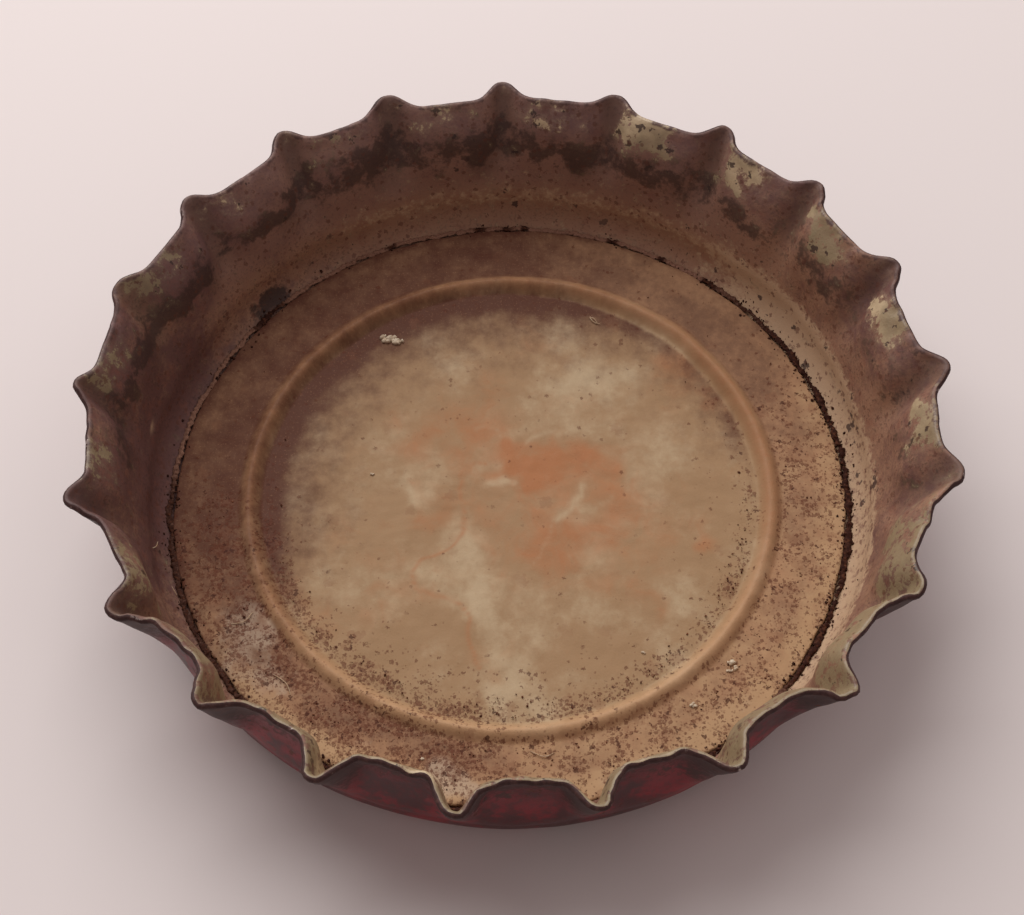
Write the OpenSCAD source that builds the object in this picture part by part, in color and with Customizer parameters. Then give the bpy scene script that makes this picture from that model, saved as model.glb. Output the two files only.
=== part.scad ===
// Crown cap lying open side up: a pressed and fluted sheet metal shell with a moulded plastic
// sealing liner seated in it. Millimetres, +Z up, origin at the centre of the outer panel face.

/* [Overall] */
// Outer diameter over the tooth tips at the rim
tip_d = 31.2; // [29.8:0.1:38]
// Height from the outer panel face to the tooth tips
cap_h = 6.0; // [5:0.1:7.4]
// Outer diameter of the plain wall, where the flutes run out
body_d = 27.2; // [26.8:0.1:28.6]

/* [Shell] */
// Thickness of the sheet metal
sheet_t = 0.24; // [0.18:0.01:0.32]
// Outer radius of the bend between panel and wall
corner_r = 1.8; // [1.5:0.1:2.2]
// Number of teeth round the rim
teeth = 21; // [18:1:24]
// Radial depth of the valleys between the teeth, at the rim
tooth_depth = 0.75; // [0.4:0.05:1]
// How far the rim of a valley lies below the tooth tips
scallop = 0.2; // [0:0.05:0.5]
// Sharpness of the teeth: a larger number gives narrower teeth and broader valleys
tooth_sharpness = 2.6; // [1.5:0.1:4]

/* [Liner] */
// Diameter of the liner over its outer edge
liner_d = 25.2; // [24.4:0.1:25.6]
// Thickness of the flat outer band of the liner
liner_t = 0.45; // [0.35:0.05:0.6]
// Thickness of the middle disc of the liner
disc_t = 0.3; // [0.2:0.05:0.35]
// Outer diameter of the raised sealing ring
ring_d = 20.3; // [19:0.1:21.5]
// Width of the raised sealing ring
ring_w = 0.7; // [0.5:0.05:1]
// Height of the sealing ring above the flat outer band
ring_h = 0.25; // [0.1:0.05:0.4]

/* [Hidden] */
// Clearance between the liner's edge and the bend of the shell
edge_gap = 0.05;
// Depth by which the fluted skirt is let into the plain wall
root_lap = 0.3;
// Amount by which the skirt's foot is thinner than the wall on each side
root_inset = 0.02;
// Height taken by the rounding of the cut edge
edge_round = 0.06;
// Share of the flare that grows in step with the height, the rest curls out towards the rim
flare_straight = 0.65;
// Share of the flute depth that grows in step with the height
flute_straight = 0.5;
// Steps over which the skirt's steepness is measured: a share of the height, and degrees
share_step = 0.01;
angle_step = 0.2;
round_fn = 96;

tip_r = tip_d / 2;
body_r = body_d / 2;
pitch = 360 / teeth;
skirt_h = cap_h - corner_r;

// Points of one tooth pitch as shares of the pitch from a tooth tip, closer at the tip
tip_shares = [0, 0.07, 0.14, 0.22, 0.34, 0.5, 0.66, 0.78, 0.86, 0.93];
cols = teeth * len(tip_shares);

// Levels of the skirt as shares of its height above the bend
levels = [0, 0.15, 0.35, 0.57, 0.79, 1];
rows = len(levels);

// Angle of a column, with one tooth tip at the back (+Y)
function col_angle(c) = 90
    + pitch * (floor(c / len(tip_shares)) + tip_shares[c % len(tip_shares)]);

// Tooth outline over the angle: one at a tooth tip, nought in the middle of a valley
function tooth(a) = pow((1 + cos((a - 90) * teeth)) / 2, tooth_sharpness);

// Growth from nought at the bend to one at the rim, of which a part grows in step with s
function growth(s, straight) = straight * s + (1 - straight) * s * s;

// Outer radius of the skirt at an angle and a share of the height
function skirt_r(a, s) = body_r + (tip_r - body_r) * growth(s, flare_straight)
    - tooth_depth * growth(s, flute_straight) * (1 - tooth(a));

// Height of the skirt at an angle and a share of the height
function skirt_z(a, s) = corner_r + s * (skirt_h - scallop * (1 - tooth(a)));

// Steepness of the skirt up its height, and round it, in millimetres per millimetre
function rise_slope(a, s) = (skirt_r(a, s + share_step) - skirt_r(a, s - share_step))
    / (2 * share_step * skirt_h);
function round_slope(a, s) = (skirt_r(a + angle_step, s) - skirt_r(a - angle_step, s))
    / (2 * angle_step * PI / 180 * tip_r);

// Radial thickness that gives the sheet its thickness square to the surface
function skirt_wall(a, s) = sheet_t
    * sqrt(1 + pow(rise_slope(a, s), 2) + pow(round_slope(a, s), 2));

function ring_point(r, a, z) = [r * cos(a), r * sin(a), z];

// Closed loops of points, from the foot up the outer side, over the edge and down the inner side
function outer_loop(s, drop) = [for (c = [0 : cols - 1]) let (a = col_angle(c))
    ring_point(skirt_r(a, s) - (s == 0 ? root_inset : 0), a, skirt_z(a, s) - drop)];
function inner_loop(s, drop) = [for (c = [0 : cols - 1]) let (a = col_angle(c))
    ring_point(skirt_r(a, s) - skirt_wall(a, s) + (s == 0 ? root_inset : 0), a,
        skirt_z(a, s) - drop)];
function edge_loop() = [for (c = [0 : cols - 1]) let (a = col_angle(c))
    ring_point(skirt_r(a, 1) - skirt_wall(a, 1) / 2, a, skirt_z(a, 1))];
function foot_loop(r) = [for (c = [0 : cols - 1]) ring_point(r, col_angle(c),
    corner_r - root_lap)];

loops = concat(
    [foot_loop(body_r - root_inset)],
    [for (i = [0 : rows - 1]) outer_loop(levels[i], i == rows - 1 ? edge_round : 0)],
    [edge_loop()],
    [for (i = [rows - 1 : -1 : 0]) inner_loop(levels[i], i == rows - 1 ? edge_round : 0)],
    [foot_loop(body_r - sheet_t + root_inset)]
);
loop_count = len(loops);

module fluted_skirt() {
    points = [for (l = loops) for (p = l) p];
    faces = [for (l = [0 : loop_count - 1]) for (c = [0 : cols - 1])
        let (n = (c + 1) % cols, m = (l + 1) % loop_count)
        for (half = [0, 1])
            half == 0 ? [l * cols + c, m * cols + c, m * cols + n]
                : [l * cols + c, m * cols + n, l * cols + n]];
    polyhedron(points = points, faces = faces, convexity = 6);
}

// Flat panel, bend and plain wall, turned in one piece
module pan() {
    rotate_extrude($fn = round_fn) {
        square([body_r - corner_r, sheet_t]);
        translate([body_r - corner_r, corner_r])
            intersection() {
                difference() {
                    circle(r = corner_r, $fn = round_fn);
                    circle(r = corner_r - sheet_t, $fn = round_fn);
                }
                translate([0, -corner_r])
                    square([corner_r, corner_r]);
            }
    }
}

module crown_shell() {
    color([0.45, 0.3, 0.24])
        union() {
            pan();
            fluted_skirt();
        }
}

// Liner section: flat band with an edge rounded to clear the bend, sealing ring, middle disc
module liner() {
    bend_r = corner_r - sheet_t - edge_gap;
    ring_mid = ring_d / 2 - ring_w / 2;
    color([0.78, 0.68, 0.55])
        translate([0, 0, sheet_t])
            rotate_extrude($fn = round_fn) {
                intersection() {
                    square([liner_d / 2, liner_t]);
                    union() {
                        square([body_r - corner_r, liner_t]);
                        translate([body_r - corner_r, bend_r])
                            circle(r = bend_r, $fn = round_fn);
                    }
                    union() {
                        square([ring_mid, disc_t]);
                        translate([ring_mid, 0])
                            square([liner_d / 2, liner_t]);
                    }
                }
                translate([ring_mid, liner_t])
                    scale([ring_w / 2, ring_h])
                        circle(r = 1, $fn = round_fn);
            }
}

crown_shell();
liner();
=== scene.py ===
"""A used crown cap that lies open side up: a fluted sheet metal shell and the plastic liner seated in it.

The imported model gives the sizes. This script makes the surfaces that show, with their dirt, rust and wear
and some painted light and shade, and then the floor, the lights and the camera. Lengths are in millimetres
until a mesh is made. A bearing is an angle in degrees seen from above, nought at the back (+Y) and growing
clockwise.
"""

import logging
import math
from dataclasses import dataclass
from enum import Enum

import bpy
import numpy as np
from mathutils import Matrix, Vector


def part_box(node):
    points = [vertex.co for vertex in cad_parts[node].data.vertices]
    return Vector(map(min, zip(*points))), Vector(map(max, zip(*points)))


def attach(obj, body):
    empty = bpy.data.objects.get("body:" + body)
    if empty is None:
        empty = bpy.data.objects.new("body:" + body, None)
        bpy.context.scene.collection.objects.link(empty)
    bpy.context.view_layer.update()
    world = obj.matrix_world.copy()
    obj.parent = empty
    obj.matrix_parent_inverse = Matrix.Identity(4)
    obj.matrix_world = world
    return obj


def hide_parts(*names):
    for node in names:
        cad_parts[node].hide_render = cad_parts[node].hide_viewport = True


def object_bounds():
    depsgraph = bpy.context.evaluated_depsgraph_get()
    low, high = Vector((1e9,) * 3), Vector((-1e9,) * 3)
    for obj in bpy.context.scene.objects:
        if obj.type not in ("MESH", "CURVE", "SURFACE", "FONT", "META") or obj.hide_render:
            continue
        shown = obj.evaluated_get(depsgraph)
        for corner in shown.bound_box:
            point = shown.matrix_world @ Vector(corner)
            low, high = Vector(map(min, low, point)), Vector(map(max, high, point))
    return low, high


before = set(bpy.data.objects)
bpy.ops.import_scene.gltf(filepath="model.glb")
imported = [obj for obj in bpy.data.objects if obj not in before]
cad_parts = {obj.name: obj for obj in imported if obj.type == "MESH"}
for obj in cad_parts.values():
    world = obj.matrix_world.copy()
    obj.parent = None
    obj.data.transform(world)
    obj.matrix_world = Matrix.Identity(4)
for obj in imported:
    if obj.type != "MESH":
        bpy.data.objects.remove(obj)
CAD_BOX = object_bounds()

MM = 0.001
HALF_TURN = 180.0
FULL_TURN = 360.0

Array = np.ndarray
Colour = tuple[float, float, float, float]
log = logging.getLogger("cap")


# ---------------------------------------------------------------------------------------------------------
# Small formulas


def smooth(value: Array, low: float, high: float) -> Array:
    """Smooth step: nought up to low, one from high, and an S curve between.

    Args:
        value: the numbers to map.
        low: where the step starts.
        high: where the step ends.

    Returns:
        3t^2 - 2t^3, with t the share of the way from low to high.
    """
    share = np.clip((value - low) / (high - low), 0.0, 1.0)
    return share * share * (3.0 - 2.0 * share)


def turn_between(bearing: Array, centre: float) -> Array:
    """Signed angle from a centre to each bearing, from -180 to 180 degrees."""
    return (bearing - centre + HALF_TURN) % FULL_TURN - HALF_TURN


def bell(value: Array, centre: float, spread: float) -> Array:
    """Bell curve round a centre: exp(-((value - centre) / spread)^2)."""
    return np.exp(-(((value - centre) / spread) ** 2))


def about(bearing: Array, centre: float, spread: float) -> Array:
    """Bell curve round a bearing."""
    return bell(turn_between(bearing, centre), 0.0, spread)


def plateau(value: Array, low: float, rise: float, fall: float, high: float) -> Array:
    """One from rise to fall, nought below low and above high, with a smooth step at each side."""
    return smooth(value, low, rise) * (1.0 - smooth(value, fall, high))


def between(bearing: Array, start: float, end: float, soft: float) -> Array:
    """Weight of an arc that runs clockwise from start to end, with soft ends.

    Args:
        bearing: the bearings to weigh.
        start: bearing where the arc starts.
        end: bearing where it ends, larger than start.
        soft: half the angle over which an end fades.

    Returns:
        One inside the arc, nought outside, and a smooth step at each end.
    """
    away = np.abs(turn_between(bearing, (start + end) / 2))
    return 1.0 - smooth(away, (end - start) / 2 - soft, (end - start) / 2 + soft)


@dataclass(frozen=True)
class Arc:
    """A stretch of the cap's round, from start to end, over which a mark has a weight."""

    weight: float
    start: float
    end: float
    soft: float

    def at(self, bearing: Array) -> Array:
        """The weight on the arc, which fades at its soft ends."""
        return self.weight * between(bearing, self.start, self.end, self.soft)


@dataclass(frozen=True)
class Peak:
    """A bearing round which a mark has a weight that dies away like a bell curve."""

    weight: float
    centre: float
    spread: float

    def at(self, bearing: Array) -> Array:
        """The weight times the bell curve of the angle from the centre."""
        return self.weight * about(bearing, self.centre, self.spread)


def total(parts: "tuple[Arc | Peak | Blot | Stroke, ...]", where: Array) -> Array:
    """Sum of what the parts are worth at each bearing or place."""
    return sum(part.at(where) for part in parts)


def growth(share: Array, straight: float) -> Array:
    """Growth from nought to one: straight parts of it in step with the share, the rest with its square."""
    return straight * share + (1.0 - straight) * share**2


def on_circle(radius: Array, bearing: Array, height: Array) -> Array:
    """Points at a radius, bearing and height: (r sin b, r cos b, z)."""
    angle = np.radians(bearing)
    return np.stack(np.broadcast_arrays(radius * np.sin(angle), radius * np.cos(angle), height), -1)


class Waves:
    """Smooth seeded noise: the sum of plane waves of about one length that run in random directions."""

    def __init__(self, seed: int, length: float, count: int = 26) -> None:
        """Draws the waves.

        Args:
            seed: seed of the random draws.
            length: mean wave length in millimetres.
            count: number of waves.
        """
        draw = np.random.default_rng(seed)
        heading = draw.normal(size=(count, 3))
        heading /= np.linalg.norm(heading, axis=1, keepdims=True)
        self.vectors = heading * (2 * math.pi / (length * draw.uniform(0.7, 1.5, count)))[:, None]
        self.phases = draw.uniform(0, 2 * math.pi, count)

    def at(self, points: Array) -> Array:
        """Works out the noise.

        Args:
            points: points in millimetres, in an array of any shape.

        Returns:
            The noise at each point, with mean nought and spread one.
        """
        swell = np.zeros(points.shape[:-1])
        for vector, phase in zip(self.vectors, self.phases):
            swell += np.cos(points @ vector + phase)
        return swell * math.sqrt(2 / len(self.phases))


def srgb(red: float, green: float, blue: float) -> Colour:
    """Turns a display colour into a linear one.

    Args:
        red: red, in parts of 255.
        green: green, in parts of 255.
        blue: blue, in parts of 255.

    Returns:
        The linear colour, opaque.
    """
    parts = np.array([red, green, blue]) / 255.0
    linear = np.where(parts <= 0.04045, parts / 12.92, ((parts + 0.055) / 1.055) ** 2.4)
    return (*linear.tolist(), 1.0)


# ---------------------------------------------------------------------------------------------------------
# Surfaces on a grid


class Closing(Enum):
    """How the rows of a grid end: in a point at each end, or in each other."""

    POLES = "poles"
    RING = "ring"


@dataclass
class Skin:
    """A closed surface worked out on a grid of rows by columns, whose columns run all the way round."""

    name: str
    points: Array
    fields: dict[str, Array]
    closing: Closing = Closing.POLES
    zones: Array | None = None

    def build(self) -> bpy.types.Object:
        """Makes the mesh, with every field as a point attribute and each row's faces in its zone's material.

        Returns:
            The new object, with its faces outwards.
        """
        rows, columns = self.points.shape[:2]
        row, column = np.meshgrid(np.arange(rows), np.arange(columns), indexing="ij")
        index = row * columns + column
        beside = np.roll(index, -1, axis=1)
        above, above_beside = np.roll(index, -1, axis=0), np.roll(beside, -1, axis=0)
        quads = np.stack([index, beside, above_beside, above], -1)
        if self.closing is Closing.RING:
            return make_piece(self.name, self.points.reshape(-1, 3), quads.reshape(-1, 4), None,
                              {key: field.ravel() for key, field in self.fields.items()})
        first, last = columns - 1, (rows - 1) * columns
        quads = quads[1:rows - 2].reshape(-1, 4) - first
        foot = np.stack([np.zeros(columns, int), beside[1] - first, index[1] - first], -1)
        top = np.stack([np.full(columns, last - first), index[rows - 2] - first,
                        beside[rows - 2] - first], -1)
        kept = slice(first, last + 1)
        piece = make_piece(self.name, self.points.reshape(-1, 3)[kept], quads, np.concatenate([foot, top]),
                           {key: field.ravel()[kept] for key, field in self.fields.items()})
        if self.zones is not None:
            parts = [np.repeat(part, columns) for part in (self.zones[1:-2], self.zones[[0, -1]])]
            piece.data.polygons.foreach_set("material_index", np.concatenate(parts).astype(np.int32))
        return piece


def make_piece(name: str, vertices: Array, quads: Array | None, triangles: Array | None,
               fields: dict[str, Array]) -> bpy.types.Object:
    """Puts a closed surface into a mesh object at the origin, in metres, with its faces outwards.

    Args:
        name: name of the piece.
        vertices: corner points in millimetres.
        quads: faces of four corners, or None.
        triangles: faces of three corners, or None.
        fields: numbers for each vertex, by attribute name.

    Returns:
        The new object.
    """
    halves = [] if quads is None else [quads[:, :3], quads[:, [0, 2, 3]]]
    halves += [] if triangles is None else [triangles]
    a, b, c = vertices[np.concatenate(halves)].transpose(1, 0, 2)
    order = 1 if np.einsum("ij,ij->i", a, np.cross(b, c)).sum() > 0 else -1
    faces = [face[:, ::order].tolist() for face in (quads, triangles) if face is not None]
    mesh = bpy.data.meshes.new(name)
    mesh.from_pydata((vertices * MM).tolist(), [], [corner for group in faces for corner in group])
    for key, numbers in fields.items():
        layer = mesh.attributes.new(key, "FLOAT", "POINT")
        layer.data.foreach_set("value", np.ascontiguousarray(numbers, dtype=np.float32))
    mesh.shade_smooth()
    mesh.update()
    piece = bpy.data.objects.new(name, mesh)
    bpy.context.scene.collection.objects.link(piece)
    return piece


def facing(points: Array) -> Array:
    """Works out the unit normals of a grid of points.

    Args:
        points: points of the grid, whose first row is all one point on the axis.

    Returns:
        The step along a row crossed with the step to the next row, and up on the first row.
    """
    normal = np.cross(np.roll(points, -1, 1) - np.roll(points, 1, 1), np.gradient(points, axis=0))
    normal[0] = (0.0, 0.0, 1.0)
    return normal / np.linalg.norm(normal, axis=-1, keepdims=True)


def seat(piece: bpy.types.Object, slot: str, materials: list[bpy.types.Material], *nodes: str) -> None:
    """Dresses a piece, and seats it on the cap's one body.

    Args:
        piece: the piece.
        slot: name of a material slot of the record; not used.
        materials: its materials, one for each zone.
        nodes: CAD nodes that it stands for.
    """
    for material in materials:
        piece.data.materials.append(material)
    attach(piece, "root")
    if nodes:
        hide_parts(*nodes)
    log.info("%s: %d faces, %s", piece.name, len(piece.data.polygons), [m.name for m in materials])


# ---------------------------------------------------------------------------------------------------------
# Shader maths


class Value:
    """A number on its way through a node tree. Arithmetic on it adds Math nodes."""

    def __init__(self, finish: "Finish", socket: bpy.types.NodeSocket) -> None:
        """Wraps an output socket of the finish's tree."""
        self.finish = finish
        self.socket = socket

    def __add__(self, other: "Value | float") -> "Value":
        """Sum."""
        return self.finish.maths("ADD", self, other)

    def __sub__(self, other: "Value | float") -> "Value":
        """Difference."""
        return self.finish.maths("SUBTRACT", self, other)

    def __rsub__(self, other: float) -> "Value":
        """Difference from a number."""
        return self.finish.maths("SUBTRACT", other, self)

    def __mul__(self, other: "Value | float") -> "Value":
        """Product."""
        return self.finish.maths("MULTIPLY", self, other)

    __radd__ = __add__
    __rmul__ = __mul__

    def most(self, other: "Value | float") -> "Value":
        """The larger of the two."""
        return self.finish.maths("MAXIMUM", self, other)

    def stirred(self, noise: "Value", amount: float) -> "Value":
        """This number moved up and down by a noise about a half."""
        return self + (noise - 0.5) * amount

    def ramp(self, low: float, high: float) -> "Value":
        """Maps this number with a smooth step.

        Args:
            low: where the step starts.
            high: where it ends.

        Returns:
            Nought up to low, one from high, and an S curve between.
        """
        node = self.finish.node("ShaderNodeMapRange", {"interpolation_type": "SMOOTHSTEP"},
                                {"Value": self, "From Min": low, "From Max": high})
        return Value(self.finish, node.outputs["Result"])


class Finish:
    """A material under construction: one Principled surface whose colours come from noise and attributes."""

    SPREAD = (0.137, 0.291, 0.353)

    def __init__(self, name: str, flat: bool = False) -> None:
        """Starts an empty material.

        Args:
            name: name of the material.
            flat: whether its patterns ignore the height, as suits a flat piece.
        """
        self.space = "2D" if flat else "3D"
        self.material = bpy.data.materials.new(name)
        self.material.use_nodes = True
        self.tree = self.material.node_tree
        self.tree.nodes.clear()
        self.place = self.node("ShaderNodeTexCoord").outputs["Object"]

    def node(self, kind: str, settings: dict[str, object] | None = None,
             inputs: dict[str, object] | None = None) -> bpy.types.Node:
        """Adds a node.

        Args:
            kind: the node's type.
            settings: its properties, set first.
            inputs: a value, socket or Value for each input, by the input's identifier.

        Returns:
            The new node.
        """
        made = self.tree.nodes.new(kind)
        for key, setting in (settings or {}).items():
            setattr(made, key, setting)
        sockets = {socket.identifier: socket for socket in made.inputs}
        for key, given in (inputs or {}).items():
            source = given.socket if isinstance(given, Value) else given
            if isinstance(source, bpy.types.NodeSocket):
                self.tree.links.new(source, sockets[key])
            else:
                sockets[key].default_value = source
        return made

    def maths(self, operation: str, first: Value | float, second: Value | float) -> Value:
        """Adds a Math node."""
        made = self.node("ShaderNodeMath", {"operation": operation}, {"Value": first, "Value_001": second})
        return Value(self, made.outputs["Value"])

    def field(self, name: str) -> Value:
        """Reads a point attribute of the mesh."""
        return Value(self, self.node("ShaderNodeAttribute", {"attribute_name": name}).outputs["Fac"])

    def spot(self, seed: int, stretch: tuple[float, float, float] = (1.0, 1.0, 1.0)) -> object:
        """Object coordinates moved by a seed, so that two patterns differ.

        Args:
            seed: number of the pattern.
            stretch: factors on X, Y and Z, where a smaller one draws the pattern out.

        Returns:
            The output socket with the coordinates.
        """
        moved = [seed * part for part in self.SPREAD]
        return self.node("ShaderNodeVectorMath", {"operation": "MULTIPLY_ADD"},
                         {"Vector": self.place, "Vector_001": stretch, "Vector_002": moved}).outputs["Vector"]

    def noise(self, seed: int, size: float, detail: float = 3.0, rough: float = 0.55, warp: float = 0.0,
              stretch: tuple[float, float, float] = (1.0, 1.0, 1.0)) -> Value:
        """Fractal noise about a half.

        Args:
            seed: number of the pattern.
            size: size of its largest features, in millimetres.
            detail: octaves.
            rough: weight of the fine octaves.
            warp: how far the pattern is bent.
            stretch: factors on X, Y and Z.

        Returns:
            The noise, from nought to one.
        """
        made = self.node("ShaderNodeTexNoise", {"noise_dimensions": self.space},
                         {"Vector": self.spot(seed, stretch), "Scale": 1.0 / (size * MM), "Detail": detail,
                          "Roughness": rough, "Distortion": warp})
        return Value(self, made.outputs["Fac"])

    def specks(self, seed: int, cell: float, size: float, density: Value | float) -> Value:
        """Small ragged specks, at most one in each cell of space.

        Args:
            seed: number of the pattern.
            cell: size of a cell, in millimetres.
            size: radius of a speck as a share of its cell.
            density: share of the cells that hold one.

        Returns:
            One on a speck and nought elsewhere.
        """
        shake = self.node("ShaderNodeTexNoise", {"noise_dimensions": self.space},
                          {"Vector": self.spot(seed + 50), "Scale": 2.6 / (cell * MM), "Detail": 1.0})
        bent = self.node("ShaderNodeVectorMath", {"operation": "MULTIPLY_ADD"},
                         {"Vector": shake.outputs["Color"], "Vector_001": (0.9 * cell * MM,) * 3,
                          "Vector_002": self.spot(seed)})
        cells = self.node("ShaderNodeTexVoronoi", {"feature": "F1", "voronoi_dimensions": self.space},
                          {"Vector": bent.outputs["Vector"], "Scale": 1.0 / (cell * MM)})
        chance = self.node("ShaderNodeSeparateColor", {}, {"Color": cells.outputs["Color"]})
        there = (density - Value(self, chance.outputs["Red"])).ramp(0.0, 0.04)
        reach = Value(self, chance.outputs["Green"]) * 0.6 + 0.7
        near = (reach * size - Value(self, cells.outputs["Distance"])).ramp(0.0, 0.3 * size)
        return there * near

    def mix(self, share: Value | float, under: object, over: object) -> object:
        """Mixes two colours.

        Args:
            share: share of the colour on top.
            under: colour or socket below.
            over: colour or socket on top.

        Returns:
            The output socket with the colour.
        """
        made = self.node("ShaderNodeMix", {"data_type": "RGBA", "clamp_factor": True},
                         {"Factor_Float": share, "A_Color": under, "B_Color": over})
        return next(socket for socket in made.outputs if socket.identifier == "Result_Color")

    def coats(self, base: object, *coats: tuple[Value | float, object]) -> object:
        """Lays colours over a base, one after another.

        Args:
            base: colour or socket at the bottom.
            coats: the share and the colour of each coat.

        Returns:
            The output socket with the colour.
        """
        for share, colour in coats:
            base = self.mix(share, base, colour)
        return base

    def surface(self, colour: object, rough: Value | float, height: Value | None = None, lift: float = 0.0,
                metal: Value | float = 0.0, **constants: object) -> bpy.types.Material:
        """Ends the material in a Principled surface.

        Args:
            colour: colour or socket.
            rough: roughness.
            height: relief from nought to one, or None.
            lift: what one of relief is worth, in millimetres.
            metal: how metallic it is.
            constants: other inputs of the shader, as plain numbers or colours, by name with _ for a space.

        Returns:
            The finished material.
        """
        inputs = {"Base Color": colour, "Roughness": rough, "Metallic": metal}
        inputs |= {key.replace("_", " "): given for key, given in constants.items()}
        if height is not None:
            bump = self.node("ShaderNodeBump", {}, {"Height": height, "Distance": lift * MM})
            inputs["Normal"] = bump.outputs["Normal"]
        shader = self.node("ShaderNodeBsdfPrincipled", {}, inputs)
        self.node("ShaderNodeOutputMaterial", {}, {"Surface": shader.outputs["BSDF"]})
        return self.material


# ---------------------------------------------------------------------------------------------------------
# The shell


@dataclass(frozen=True)
class ShellFinish:
    """Brown film, cream lacquer, rust, dirt and painted light and shade inside; worn red paint outside; dark
    worn metal at the rim.
    """

    film_dark: Colour = srgb(104, 70, 65)
    film_light: Colour = srgb(158, 118, 93)
    film_red: Colour = srgb(134, 82, 64)
    film_cool: Colour = srgb(126, 94, 92)
    dust: Colour = srgb(196, 164, 131)
    lacquer: Colour = srgb(218, 194, 155)
    lacquer_green: Colour = srgb(148, 131, 100)
    grime_and_shade: Colour = srgb(58, 37, 33)
    soot: Colour = srgb(46, 29, 26)
    rust: Colour = srgb(96, 54, 40)
    paint: Colour = srgb(142, 28, 40)
    paint_dark: Colour = srgb(72, 27, 29)
    primer: Colour = srgb(112, 84, 74)
    steel: Colour = srgb(176, 160, 152)
    edge_brown: Colour = srgb(86, 58, 53)
    rim_dark: Colour = srgb(62, 40, 38)

    def inside(self) -> bpy.types.Material:
        """Makes the inner side's material.

        Returns:
            The material.
        """
        make = Finish("filmed_inside")
        share, valley, green = make.field("share"), make.field("valley"), make.field("green")
        broad, fine = make.noise(1, 2.4, 3), make.noise(2, 0.32, 3, 0.65)
        mottle, ragged = make.noise(5, 0.11, 1.5, 0.7), make.noise(6, 0.6, 4, 0.66)

        # The tone field adds painted light and shade by bearing to the film's own random tone.
        tone = broad * 1.1 + fine * 0.8 + make.field("tone") - 0.5
        film = make.coats(self.film_dark, (tone.ramp(0.15, 0.8), self.film_light),
                          ((1.0 - ragged).ramp(0.5, 0.75) * 0.5, self.film_red),
                          ((mottle * 0.6 + fine * 0.4).ramp(0.5, 0.66) * 0.5, self.grime_and_shade),
                          (make.field("cool") * 0.42, self.film_cool))
        haze = make.field("haze").stirred(fine, 1.7).stirred(mottle, 0.8).ramp(0.4, 0.95)
        # Painted shade: the tooth grooves are darkened with the grime colour, more towards the rim.
        groove = (share * (1.0 - valley)).stirred(fine, 0.4).ramp(0.22, 0.9)
        # The dark band under the teeth: partly painted shade under the flute bulges, partly grime.
        band = make.field("band").stirred(broad, 1.4).stirred(ragged, 2.2).ramp(0.4, 0.84)
        # Painted shade in the tooth pockets of the back and left walls.
        shade = make.field("shade").stirred(fine, 0.5).ramp(0.1, 1.0)
        film = make.coats(film, (haze * 0.8, self.dust), (groove * 0.5, self.grime_and_shade),
                          (band * 0.76, self.grime_and_shade), (shade * 0.32, self.grime_and_shade))

        cover = make.field("lacquer").stirred(ragged, 2.2).stirred(mottle, 0.5)
        thin, thick = cover.ramp(0.15, 0.75), cover.ramp(0.5, 0.62)
        cream = make.mix((broad + green).ramp(0.35, 0.65), self.lacquer, self.lacquer_green)
        spots = make.specks(8, 0.4, 0.4, thin * 0.42 - green * 0.9 + make.field("pepper"))
        dirt = make.field("smudge").stirred(ragged, 1.6).ramp(0.4, 0.7)
        rusty = make.specks(10, 0.22, 0.42, 0.22 + make.field("pepper") * 0.9)
        worn = make.field("edge").stirred(fine, 1.2).ramp(0.4, 0.8)
        colour = make.coats(film, (thin * 0.3, cream), (thick * (fine * 0.8 + 0.3), cream),
                            (spots * 0.85, self.grime_and_shade), (dirt * 0.85, self.soot), (rusty * 0.6, self.rust),
                            (make.field("scratch"), self.dust), (worn, self.edge_brown))

        rough = 0.6 - thick * 0.15 + haze * 0.15 + (fine - 0.5) * 0.3
        relief = fine * 0.35 + mottle * 0.3 + ragged * 0.5
        return make.surface(colour, rough, relief, 0.03)

    def outside(self) -> bpy.types.Material:
        """Makes the outer side's material.

        Returns:
            The material.
        """
        make = Finish("worn_red_outside")
        share, valley = make.field("share"), make.field("valley")
        broad, fine = make.noise(21, 1.8, 4, 0.6), make.noise(22, 0.22, 3, 0.65)
        worn = (1.0 - valley) * share * 0.4 + share * 0.7
        worn = worn.stirred(broad, 1.2).stirred(fine, 0.9).ramp(0.4, 0.7)
        brown = make.mix(fine.ramp(0.4, 0.8), self.rim_dark, self.edge_brown)
        chips = make.noise(24, 0.8, 5, 0.7).ramp(0.62, 0.68)
        scuffs = make.noise(25, 0.5, 3, 0.6, stretch=(1.0, 0.12, 1.0)).ramp(0.66, 0.74)
        scuffs = scuffs.most(make.noise(26, 0.6, 3, 0.6, stretch=(0.14, 1.0, 1.0)).ramp(0.68, 0.76))
        dots = make.specks(27, 0.5, 0.35, 0.16)
        colour = make.coats(self.paint_dark, (broad.stirred(fine, 0.4).ramp(0.38, 0.68), self.paint),
                            (worn, brown), (chips * 0.9, self.rust), (scuffs * 0.55, self.primer),
                            (dots * 0.8, self.grime_and_shade))
        rough = 0.42 + worn * 0.2 + chips * 0.25 + (fine - 0.5) * 0.25
        relief = 0.6 - worn * 0.25 - chips * 0.35 + fine * 0.25
        return make.surface(colour, rough, relief, 0.03)

    def rim(self) -> bpy.types.Material:
        """Makes the cut edge's material: dark worn metal with a few bright spots.

        Returns:
            The material.
        """
        make = Finish("worn_rim")
        grain, patch = make.noise(31, 0.2, 3, 0.65), make.noise(32, 0.9, 3)
        glint = patch.stirred(grain, 0.6).ramp(0.68, 0.8)
        colour = make.coats(self.rim_dark, (grain.ramp(0.4, 0.75), self.edge_brown), (glint, self.steel))
        return make.surface(colour, 0.55 - glint * 0.2, grain, 0.02, metal=glint * 0.8,
                            Specular_IOR_Level=0.2)

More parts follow.
